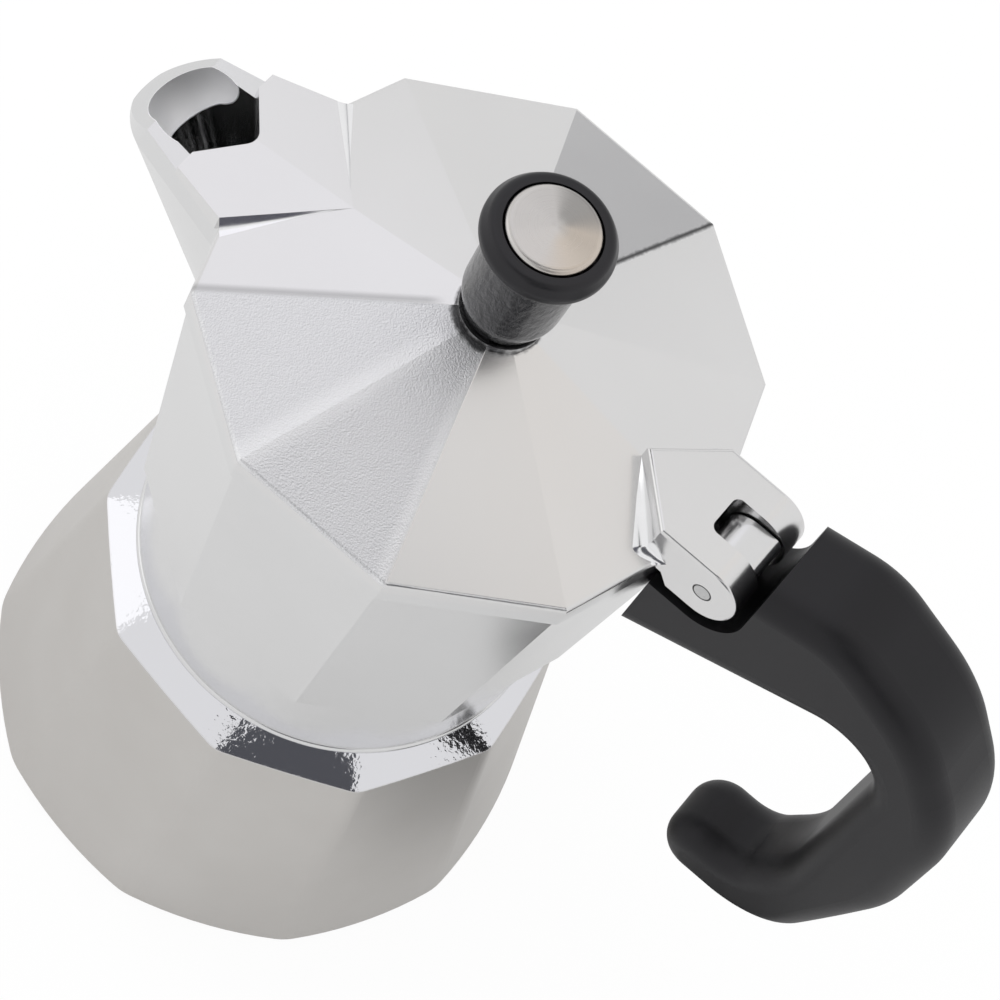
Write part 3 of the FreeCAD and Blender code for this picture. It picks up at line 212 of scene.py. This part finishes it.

# Collector: the jug, cast in aluminium with ten flared sides, a spout and a hinge knuckle, then polished.
# The polishing leaves a bright face with a slight ripple. The bowl of the spout is left rougher, as cast, and
# its colour is painted near white, a painted highlight that keeps the hollow bright.
BOWL_REACH = -49.6 * MM
BOWL_HEIGHT = 124.5 * MM
BOWL_RADIUS = 6.64 * MM
BOWL_EDGE = 0.08 * MM
cast_aluminium = Finish("cast_aluminium", Metallic=1.0)
ripple = cast_aluminium.noise(2.2 * MM, detail=2)
sheen = cast_aluminium.noise(16 * MM)
from_bowl_x = cast_aluminium.x - BOWL_REACH
from_bowl_y = cast_aluminium.y
from_bowl_z = cast_aluminium.z - BOWL_HEIGHT
from_bowl = (from_bowl_x * from_bowl_x + from_bowl_y * from_bowl_y + from_bowl_z * from_bowl_z) ** 0.5
# The spout's bowl: rougher as cast, and painted near white as a painted highlight in the hollow.
cast_bowl_and_painted_light = 1 - cast_aluminium.step(from_bowl, BOWL_RADIUS, BOWL_RADIUS + BOWL_EDGE)
jug_face = cast_aluminium.tint(sheen, (0.745, 0.745, 0.748), (0.785, 0.785, 0.788))
cast_aluminium.set(
    Base_Color=cast_aluminium.blend(cast_bowl_and_painted_light, jug_face, (0.96, 0.96, 0.97, 1)),
    Roughness=0.17 + 0.06 * sheen + cast_bowl_and_painted_light * 0.45,
    Normal=cast_aluminium.relief(ripple, 0.05 * MM, 0.12),
)
dress("collector", cast_aluminium)

# Skirt bead: the thin rolled edge round the foot of the collector, just above the boiler's shoulder.
# It takes the same polished finish as the collector's skirt above it.
BEAD_RADIUS = 31.0 * MM
BEAD_HEIGHT = 54.1 * MM
BEAD_THICKNESS = 0.55 * MM
BEAD_STRETCH = 1.25
BEAD_SEGMENTS = 160
BEAD_SIDES = 14
BEAD_CREASE = 40
MERGE_DISTANCE = 1e-6


def finished(piece, body, finish, angle):
    """Takes a modelled piece out of edit mode, gives it its finish and lets it move with a body."""
    bpy.ops.mesh.select_all(action="SELECT")
    bpy.ops.mesh.remove_doubles(threshold=MERGE_DISTANCE)
    bpy.ops.mesh.normals_make_consistent(inside=False)
    bpy.ops.object.mode_set(mode="OBJECT")
    bpy.ops.object.transform_apply(location=True, rotation=True, scale=True)
    bpy.ops.object.shade_smooth_by_angle(angle=math.radians(angle))
    piece.data.materials.append(finish.material)
    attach(piece, body)


bpy.ops.object.select_all(action="DESELECT")
bpy.ops.mesh.primitive_torus_add(
    major_radius=BEAD_RADIUS, minor_radius=BEAD_THICKNESS, major_segments=BEAD_SEGMENTS,
    minor_segments=BEAD_SIDES, location=(0, 0, BEAD_HEIGHT),
)
bead = bpy.context.active_object
bead.name = "skirt_bead"
bpy.ops.object.mode_set(mode="EDIT")
bpy.ops.transform.resize(value=(1, 1, BEAD_STRETCH))
finished(bead, "jug", cast_aluminium, BEAD_CREASE)

# Handle: a moulded hook of matt black heatproof plastic, screwed up into the collector's tongue.
# Its skin has a very fine grain.
COOL_SHEEN = (0.96, 0.94, 1.0, 1)
handle_plastic = Finish("handle_plastic", Specular_IOR_Level=0.38, Specular_Tint=COOL_SHEEN)
skin = handle_plastic.noise(0.22 * MM, detail=3)
wear = handle_plastic.noise(20 * MM)
handle_plastic.set(
    Base_Color=handle_plastic.tint(wear, (0.004, 0.004, 0.0045), (0.007, 0.007, 0.0075)),
    Roughness=0.40 + 0.08 * skin,
    Normal=handle_plastic.relief(skin, 0.02 * MM, 0.35),
)
dress("handle", handle_plastic)

plain_steel = Finish("plain_steel", Metallic=1.0)
rolled = plain_steel.noise(0.5 * MM, detail=3)
plain_steel.set(
    Base_Color=plain_steel.tint(rolled, (0.52, 0.52, 0.52), (0.66, 0.66, 0.66)),
    Roughness=0.22 + 0.14 * rolled,
    Normal=plain_steel.relief(rolled, 0.02 * MM, 0.3),
)
for node in ("handle_screw", "handle_washer", "hinge_pin", "knob_screw", "knob_washer"):
    dress(node, plain_steel)

# Lid: a low ten-sided roof cast in aluminium, with a nose over the spout and the hinge's fork.
# Two facets on one side still show the grain of the casting, with painted light and shade on the sides of its
# grains, and the others are polished.
# Use has left a smear along one ridge. A painted shade lies along another ridge, and a painted shadow darkens
# a ring round the knob's boss.
GRAIN_RIDGE = math.radians(-108)
GRAIN_EDGE = math.radians(-72)
SMEARED_RIDGE = math.radians(72)
SHADED_RIDGE = math.radians(-144)
PIN_REACH = 44.0 * MM
PIN_HEIGHT = 128.2 * MM
PIN_RADIUS = 1.25 * MM
PIN_GAP = 0.16 * MM
BOSS_RADIUS = 6.2 * MM
LID_RADIUS = 40.0 * MM
HALF_FACET = math.radians(18)
LID_APOTHEM = LID_RADIUS * math.cos(HALF_FACET)
LID_EAVES = 127.55 * MM
LID_CROWN = 135.25 * MM
BOSS_TOP = LID_CROWN + 1.2 * MM
BOSS_EDGE = 0.01 * MM
LID_HALF_WALL = 1.2 * MM
LID_RIDGE_PITCH = 0.2292
EDGE_FADE = 0.059 * MM
EDGE_CLEAR = 0.0035 * MM
GRAIN_SIZE = 0.24 * MM
TINY = 1e-6
DARK_MARKS_AND_PAINTED_SHADE = (0.05, 0.05, 0.052, 1)
BURNISHED = (0.93, 0.93, 0.94, 1)
lid_aluminium = Finish("lid_aluminium", Metallic=1.0)
flat_radius = (lid_aluminium.x * lid_aluminium.x + lid_aluminium.y * lid_aluminium.y) ** 0.5
mid_wall = LID_EAVES - LID_HALF_WALL + (LID_RADIUS - flat_radius) * LID_RIDGE_PITCH
top_side = lid_aluminium.step(lid_aluminium.z - mid_wall, -0.3 * MM, 0.3 * MM)


def along_ridge(angle):
    """How far a place is from the knob's axis in the direction of a ridge or facet."""
    return lid_aluminium.x * math.cos(angle) + lid_aluminium.y * math.sin(angle)


def beside_ridge(angle):
    """How far a place is to the right of a ridge, seen from the knob."""
    return lid_aluminium.x * math.sin(angle) - lid_aluminium.y * math.cos(angle)


def on_roof_beside(ridge):
    """One on the two roof facets beside a ridge, and nothing on the lid's rim and underside."""
    roof = top_side
    for facet in (ridge - HALF_FACET, ridge + HALF_FACET):
        rim = lid_aluminium.step(along_ridge(facet), LID_APOTHEM - EDGE_FADE, LID_APOTHEM - EDGE_CLEAR)
        roof = roof * (1 - rim)
    return roof


def near_ridge(angle, middle, width):
    """One on a line beside a ridge, and nothing further than a width from it or behind the knob."""
    off = beside_ridge(angle) - middle
    line = 1 - lid_aluminium.step((off * off) ** 0.5, 0.0, width)
    return line * lid_aluminium.step(along_ridge(angle), 7 * MM, 10 * MM) * on_roof_beside(angle)


grain_wedge = lid_aluminium.step(along_ridge(GRAIN_RIDGE) / (flat_radius + TINY), 0.800, 0.818)
over_crown = lid_aluminium.step(lid_aluminium.z, LID_CROWN + BOSS_EDGE, LID_CROWN + 3 * BOSS_EDGE)
under_top = 1 - lid_aluminium.step(lid_aluminium.z, BOSS_TOP - 3 * BOSS_EDGE, BOSS_TOP - BOSS_EDGE)
grainy = grain_wedge * on_roof_beside(GRAIN_RIDGE) * (1 - over_crown * under_top)
casting = lid_aluminium.noise(GRAIN_SIZE)
# Painted light and shade on the grain: a copy of the grain shifted to one side is taken from it, so that each
# grain is painted lighter on one side and darker on the other.
grain_shifted_for_painted_light = lid_aluminium.noise(GRAIN_SIZE, shift=(0.55, 0, 0))
painted_grain_light = 0.5 + (grain_shifted_for_painted_light - casting) * 2.4
smear_and_shadow_noise = lid_aluminium.noise(0.9 * MM, detail=3)
lid_cloud = lid_aluminium.noise(18 * MM)
from_pin_x = lid_aluminium.x - PIN_REACH
from_pin_z = lid_aluminium.z - PIN_HEIGHT
from_pin = (from_pin_x * from_pin_x + from_pin_z * from_pin_z) ** 0.5
seam = 1 - lid_aluminium.step(from_pin, PIN_RADIUS + PIN_GAP, PIN_RADIUS + PIN_GAP + 0.14 * MM)
# Painted shadow: a dark ring is painted on the lid round the knob's boss, where the knob's foot is in shadow.
# Its edge is ragged, and it draws in on the grainy facets.
boss_shadow_reach = flat_radius + smear_and_shadow_noise * 0.9 * MM - grainy * 0.7 * MM
painted_boss_shadow_ring = 1 - lid_aluminium.step(boss_shadow_reach, BOSS_RADIUS, BOSS_RADIUS + 0.8 * MM)
painted_boss_shadow = painted_boss_shadow_ring * top_side
smeared = near_ridge(SMEARED_RIDGE, 0.0, 0.2 * MM + smear_and_shadow_noise * 0.8 * MM)
# Painted shade: a soft grey band is painted beside one ridge, where that side of the ridge falls in shade.
shaded = near_ridge(SHADED_RIDGE, 0.5 * MM, 1.0 * MM) * 0.35
soft_ridge = near_ridge(GRAIN_RIDGE, 0.4 * MM, 3.2 * MM) * 0.7
burnished = soft_ridge + near_ridge(GRAIN_EDGE, 0.6 * MM, 1.8 * MM) * grainy * 0.6
lid_face = lid_aluminium.tint(lid_cloud, (0.765, 0.760, 0.760), (0.800, 0.796, 0.796))
lid_grain_painted_light = lid_aluminium.tint(painted_grain_light, (0.690, 0.690, 0.705), (0.860, 0.860, 0.875))
lid_tone = lid_aluminium.blend(burnished, lid_aluminium.blend(grainy, lid_face, lid_grain_painted_light), BURNISHED)
# The dark grey goes on the pin's seam and the smear, which are marks, and on the painted shade and the
# painted shadow.
dark = seam + smeared * 0.9 + shaded + painted_boss_shadow * 0.94
lid_aluminium.set(
    Base_Color=lid_aluminium.blend(dark, lid_tone, DARK_MARKS_AND_PAINTED_SHADE),
    Roughness=0.20 + 0.05 * lid_cloud + grainy * 0.16,
    Normal=lid_aluminium.relief(casting * (0.03 + grainy), 0.10 * MM, 0.8),
)
dress("lid", lid_aluminium)

# Coves: where the nose and the hinge's lug stand up from the lid, the casting runs out in polished fillets.
# Each is deepest at the lid's edge and tapers to nothing at the point of the nose or lug.
fillet_aluminium = Finish("fillet_aluminium", Metallic=1.0)
buffed = fillet_aluminium.noise(6 * MM)
# The fillets' near-white colour is partly their polish and partly a painted highlight, the white line of
# light along their foot.
fillet_aluminium.set(
    Base_Color=fillet_aluminium.tint(buffed, (0.90, 0.90, 0.91), (0.97, 0.97, 0.98)),
    Roughness=0.12 + 0.06 * buffed,
)
CHAMFERED = ((0.0, 1.0), (0.27, 0.56), (0.54, 0.12), (0.62, 0.05), (0.74, 0.01), (1.0, -0.04))
HOLLOW = (
    (0.0, 1.0), (0.02, 0.76), (0.07, 0.56), (0.15, 0.39), (0.26, 0.25),
    (0.40, 0.14), (0.57, 0.06), (0.77, 0.01), (1.0, -0.03),
)
COVE_CREASE = 50
NOSE_POINT = (-24.4, 0.15, 131.0)
NOSE_HEAD = (-36.38, 12.88, 128.46)
NOSE_FOOT = (-34.60, 14.75, 127.70)
NOSE_INSIDE = (-34.6, 12.2, 126.8)
NOSE_END = (-35.0, 12.6, 127.2)
LUG_POINT = (26.3, 0.1, 130.75)
LUG_HEAD = (34.78, 8.43, 131.4)
LUG_INSET = 0.6
LUG_INNER = 7.7
LUG_FLOOR = 127.2
LUG_END = (38.2, 8.35, 127.8)
LUG_RUN = 1.9
LUG_SPREAD = 0.02
LUG_FALL = 2.0
LUG_REACH = 2.6
LUG_NARROWING = 1.3
LUG_FIRST_TURN = 45
LUG_TURN = 50
LUG_STATIONS = 9
ROOF_PITCH = 0.241


def across(place, side):
    """A place in millimetres on the near side, -1, or the far side, 1."""
    x, y, z = place
    return Vector((x, y * side, z))


def on_roof(x, y):
    """A place on the two lid facets beside the hinge, from its place in plan, in millimetres."""
    reach = x * math.cos(HALF_FACET) + abs(y) * math.sin(HALF_FACET)
    return Vector((x, y, LID_EAVES / MM + (LID_APOTHEM / MM - reach) * ROOF_PITCH))


def run_out(shape, head, foot, inside):
    """A fillet's section from its head down to its foot, closed inside the casting."""
    section = []
    for out, height in shape:
        place = head.lerp(foot, out)
        place.z = foot.z + (head.z - foot.z) * height
        section.append(place)
    return [*section, inside]


def cove(name, start, sections, end):
    """A fillet drawn from a ball: its poles go to the two ends, its rings to the sections."""
    bpy.ops.object.select_all(action="DESELECT")
    bpy.ops.mesh.primitive_uv_sphere_add(segments=len(sections[0]), ring_count=len(sections) + 1, radius=MM)
    ball = bpy.context.active_object
    ball.name = name
    levels = {}
    for vertex in ball.data.vertices:
        levels.setdefault(round(vertex.co.z / MM, 3), []).append(vertex)
    moves = {}
    for level, places in zip(sorted(levels), ([start], *sections, [end])):
        ring = sorted(levels[level], key=lambda v: math.atan2(v.co.x, v.co.y))
        for vertex, place in zip(ring, places):
            moves[vertex.index] = place * MM - vertex.co
    for index, move in moves.items():
        bpy.ops.object.mode_set(mode="EDIT")
        bpy.ops.mesh.select_all(action="DESELECT")
        bpy.ops.object.mode_set(mode="OBJECT")
        ball.data.vertices[index].select = True
        bpy.ops.object.mode_set(mode="EDIT")
        bpy.ops.transform.translate(value=move)
    finished(ball, "cover", fillet_aluminium, COVE_CREASE)


for name, side in (("near", -1), ("far", 1)):
    nose_point = across(NOSE_POINT, side)
    nose_places = (across(place, side) for place in (NOSE_HEAD, NOSE_FOOT, NOSE_INSIDE))
    nose_edge = run_out(CHAMFERED, *nose_places)
    nose_middle = [place.lerp(nose_point, 0.5) for place in nose_edge]
    cove(f"nose_cove_{name}", nose_point, [nose_middle, nose_edge], across(NOSE_END, side))
    lug_sections = []
    for station in range(LUG_STATIONS):
        along = station / (LUG_STATIONS - 1)
        slide = along ** 3
        head = across(LUG_HEAD, side) + Vector((LUG_RUN * slide + LUG_SPREAD * along, 0, -LUG_FALL * slide))
        turn = math.radians(LUG_FIRST_TURN + LUG_TURN * along)
        reach = LUG_REACH - LUG_NARROWING * slide
        foot = on_roof(head.x - reach * math.cos(turn), head.y + reach * math.sin(turn) * side)
        inside = across((head.x + LUG_INSET, LUG_INNER, LUG_FLOOR), side)
        lug_sections.append(run_out(HOLLOW, head, foot, inside))
    cove(f"lug_cove_{name}", across(LUG_POINT, side), lug_sections, across(LUG_END, side))

# Knob: turned from black heatproof plastic, glossy on its stem and satin on its flange.
# A brass insert takes the screw from under the lid.
FLANGE_DROP = 4.9 * MM
FLANGE_BLEND = 0.7 * MM
flange_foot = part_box("knob")[1].z - FLANGE_DROP
knob_plastic = Finish("knob_plastic", Specular_IOR_Level=0.5, Specular_Tint=COOL_SHEEN, Coat_Roughness=0.16)
flange_part = knob_plastic.step(knob_plastic.z, flange_foot, flange_foot + FLANGE_BLEND)
wrinkle = knob_plastic.noise(0.9 * MM, detail=4, stretch=(1, 1, 2.2), roughness=0.6)
mould = knob_plastic.noise(0.2 * MM)
skin_height = wrinkle * (1 - flange_part) + mould * flange_part * 0.05
knob_plastic.set(
    Base_Color=knob_plastic.tint(mould, (0.003, 0.003, 0.0035), (0.006, 0.006, 0.0065)),
    Roughness=0.18 + flange_part * 0.18 + 0.04 * mould,
    Coat_Weight=(1 - flange_part) * 0.5,
    Normal=knob_plastic.relief(skin_height, 0.40 * MM, 1.0),
)
dress("knob", knob_plastic)
dress("knob_insert", valve_brass)

# Knob cap: a spun disc of brushed steel pressed into the knob's top.
# The brush marks run in rings, and the wedges of sheen that they throw are painted into its colour, a dark
# wedge and a warm one.
GROOVES_PER_METRE = 9000
CAP_MIDDLE = 2.5 * MM
PAINTED_WARM_SHEEN = (0.66, 0.59, 0.52, 1)
PAINTED_DARK_SHEEN = (0.30, 0.29, 0.28, 1)
cap_steel = Finish("cap_steel", Metallic=1.0, Anisotropic=0.85)
cap_radius = (cap_steel.x * cap_steel.x + cap_steel.y * cap_steel.y) ** 0.5
groove_sockets = {"W": cap_radius * GROOVES_PER_METRE, "Scale": 1.0, "Detail": 2.0}
groove = cap_steel.node("TexNoise", {"noise_dimensions": "1D"}, groove_sockets)
cap_face = cap_steel.tint(groove, (0.61, 0.585, 0.565), (0.69, 0.67, 0.65))
cap_across = cap_steel.x / (cap_radius + TINY)
cap_along = cap_steel.y / (cap_radius + TINY)
# Painted sheen: a dark wedge and a warm wedge are painted into the cap's colour, where the ringed brush marks
# would throw their sheen.
painted_dark_sheen_wedge = cap_steel.step(cap_along + cap_across * 0.15, 0.62, 1.0)
painted_dark_sheen = painted_dark_sheen_wedge * cap_steel.step(cap_radius, 0, 0.88 * CAP_MIDDLE) * 0.72
painted_warm_sheen = cap_steel.step(cap_across, 0.15, 0.9) * cap_steel.step(cap_radius, 0, CAP_MIDDLE)
cap_steel.set(
    Base_Color=cap_steel.blend(painted_dark_sheen, cap_steel.blend(painted_warm_sheen, cap_face, PAINTED_WARM_SHEEN), PAINTED_DARK_SHEEN),
    Roughness=0.24 + 0.12 * groove,
    Normal=cap_steel.relief(groove, 0.008 * MM, 0.4),
)
dress("knob_cap", cap_steel)

# Studio: a white floor under a white sky, a soft lamp, cards that show only as reflections,
# and the camera at the photograph's angle. Nothing here belongs to the pot.
FLOOR_SIZE = 6.0
bpy.ops.object.select_all(action="DESELECT")
bpy.ops.mesh.primitive_plane_add(size=FLOOR_SIZE)
floor = bpy.context.active_object
floor.name = "floor"
floor_white = Finish("floor_white", Roughness=0.9, Specular_IOR_Level=0.0)
floor_white.set(Base_Color=(0.80, 0.80, 0.80, 1))
seen = floor_white.node("LightPath", output="Is Camera Ray")
mirrored = floor_white.node("LightPath", output="Is Glossy Ray")
glow = floor_white.node("Emission", None, {"Color": (1, 1, 1, 1), "Strength": 1.02})
lit = Value(floor_white, floor_white.shader.outputs[0])
surface = floor_white.node("MixShader", None, {0: seen * 0.92 + mirrored * 0.25, 1: lit, 2: glow})
floor_white.tree.links.new(surface.socket, floor_white.tree.nodes["Material Output"].inputs["Surface"])
floor.data.materials.append(floor_white.material)

SKY = 0.86
world = bpy.data.worlds.new("studio")
world.use_nodes = True
bpy.context.scene.world = world
background = world.node_tree.nodes["Background"]
background.inputs["Color"].default_value = (1, 1, 1, 1)
background.inputs["Strength"].default_value = SKY


def softbox(name, place, towards, size, power):
    """A square area lamp that faces a point and isn't itself mirrored in the metal."""
    lamp = bpy.data.lights.new(name, "AREA")
    lamp.size = size
    lamp.energy = power
    box = bpy.data.objects.new(name, lamp)
    bpy.context.scene.collection.objects.link(box)
    aim = (Vector(towards) - Vector(place)).to_track_quat("-Z", "Y")
    box.matrix_world = Matrix.Translation(place) @ aim.to_matrix().to_4x4()
    box.visible_glossy = False


POT_TOP = Vector((0.0, 0.0, 0.125))
softbox("key", (-0.65, 0.15, 0.70), POT_TOP, 0.45, 2.0)


def card(name, direction, distance, width, height, shade):
    """A card that only shows as a reflection in the polished faces."""
    bpy.ops.object.select_all(action="DESELECT")
    bpy.ops.mesh.primitive_plane_add(size=1)
    panel = bpy.context.active_object
    panel.name = name
    panel.visible_camera = False
    panel.visible_shadow = False
    panel.visible_diffuse = False
    place = POT_TOP + Vector(direction).normalized() * distance
    aim = (POT_TOP - place).to_track_quat("Z", "Y")
    size = Matrix.Diagonal((width, height, 1, 1))
    panel.data.transform(Matrix.Translation(place) @ aim.to_matrix().to_4x4() @ size)
    paper = Finish(name)
    tone = paper.node("Emission", None, {"Color": (*shade, 1), "Strength": 1.0})
    paper.tree.links.new(tone.socket, paper.tree.nodes["Material Output"].inputs["Surface"])
    panel.data.materials.append(paper.material)


card("camera_side", (0.0, -0.52, 0.85), 0.46, 0.20, 0.16, (0.03, 0.03, 0.035))
card("front_stand", (0.533, -0.692, 0.485), 0.435, 0.26, 0.24, (0.092, 0.094, 0.105))
card("right_stand", (0.280, -0.260, 0.925), 0.444, 0.17, 0.15, (0.07, 0.07, 0.09))
card("far_strip", (-0.05, 0.834, 0.549), 0.50, 0.13, 0.26, (0.52, 0.52, 0.53))
card("warm_top", (0.30, 0.26, 0.92), 0.50, 0.24, 0.20, (0.88, 0.85, 0.82))
card("left_top", (-0.42, 0.27, 0.87), 0.50, 0.30, 0.36, (0.98, 0.975, 1.01))
card("left_low", (-0.443, -0.157, 0.165), 0.50, 0.30, 0.26, (1.2, 1.2, 1.2))
card("floor_shade", (0.070, -0.006, -0.1245), 0.143, 0.05, 0.05, (0.06, 0.06, 0.06))

CAMERA_AZIMUTH = math.radians(5.815)
CAMERA_ELEVATION = math.radians(60.313)
CAMERA_ROLL = math.radians(35.451)
CAMERA_DISTANCE = 565.1 * MM
CAMERA_TARGET = Vector((14.32 * MM, 0, 97.08 * MM))
FOCAL_SHARE = 4.0497
SENSOR = 36.0
back = Vector((
    math.sin(CAMERA_AZIMUTH) * math.cos(CAMERA_ELEVATION),
    -math.cos(CAMERA_AZIMUTH) * math.cos(CAMERA_ELEVATION),
    math.sin(CAMERA_ELEVATION),
))
level_right = Vector((math.cos(CAMERA_AZIMUTH), math.sin(CAMERA_AZIMUTH), 0))
level_up = back.cross(level_right)
right = level_right * math.cos(CAMERA_ROLL) + level_up * math.sin(CAMERA_ROLL)
up = level_up * math.cos(CAMERA_ROLL) - level_right * math.sin(CAMERA_ROLL)
lens = bpy.data.cameras.new("camera")
lens.sensor_width = SENSOR
lens.lens = FOCAL_SHARE * SENSOR
lens.clip_start = 0.01
camera = bpy.data.objects.new("camera", lens)
bpy.context.scene.collection.objects.link(camera)
turn = Matrix((right, up, back)).transposed().to_4x4()
camera.matrix_world = Matrix.Translation(CAMERA_TARGET + back * CAMERA_DISTANCE) @ turn
bpy.context.scene.camera = camera
bpy.context.scene.view_settings.view_transform = "Standard"
